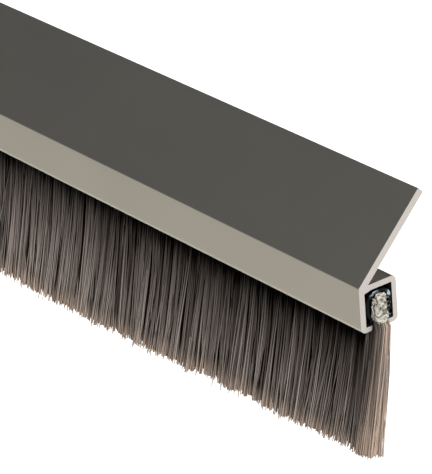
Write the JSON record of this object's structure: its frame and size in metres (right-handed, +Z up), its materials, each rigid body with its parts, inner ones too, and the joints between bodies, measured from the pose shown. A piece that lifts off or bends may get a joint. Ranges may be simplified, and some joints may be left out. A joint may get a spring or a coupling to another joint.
{
  "type": "brush door sweep",
  "caption": "Straight door sweep: a brush strip hangs from a slotted aluminium carrier with a 45 degree fixing flange.",
  "frame": {"origin": "middle of the outer face of the flange, the plain face that lies on the door, at mid-length", "axes": "+X along the sweep, -Y out of the plain side wall of the channel, +Z up with the bristles hanging down"},
  "size_m": [0.914, 0.0262, 0.0687],
  "materials": {
    "anodised_aluminium": "satin anodised",
    "galvanised_steel": "galvanised",
    "steel_wire": "drawn",
    "nylon_bristle": "extruded filament"
  },
  "bodies": {
    "carrier": {"carrier": "anodised_aluminium"},
    "brush": {"brush_backing": "galvanised_steel", "core_wire": "steel_wire", "bristles": "nylon_bristle"}
  },
  "joints": [
    {"name": "brush_slide", "type": "slide", "parent": "carrier", "child": "brush", "axis": [1, 0, 0], "range_m": [-0.9, 0.9]}
  ]
}
